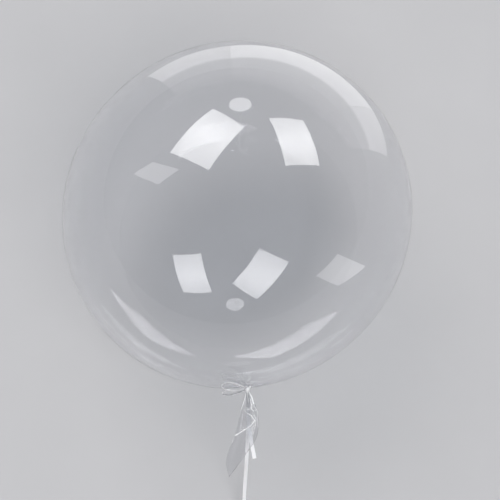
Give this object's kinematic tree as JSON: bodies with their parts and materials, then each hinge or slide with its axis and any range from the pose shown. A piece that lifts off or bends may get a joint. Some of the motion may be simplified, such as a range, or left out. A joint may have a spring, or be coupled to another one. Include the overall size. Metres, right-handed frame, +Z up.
{
  "type": "clear bubble balloon",
  "caption": "Large round clear film balloon lying on its side, with a gathered neck, a loose film tail and a tied ribbon that runs to a coil.",
  "frame": {"origin": "middle of the flat spot on the bubble's side, where it rests on the surface", "axes": "+Z up from the surface, +Y from the tied neck to the crown, +X to the right with the neck towards the viewer"},
  "size_m": [0.4822, 0.7308, 0.4779],
  "materials": {
    "clear_film": "clear, glossy stretched plastic film",
    "ribbon": "translucent white, satin curling ribbon"
  },
  "bodies": {
    "root": {"bubble": "clear_film", "ribbon_bow": "ribbon", "ribbon_short_end": "ribbon", "ribbon_long_end": "ribbon", "ribbon_coil": "ribbon"}
  },
  "joints": []
}
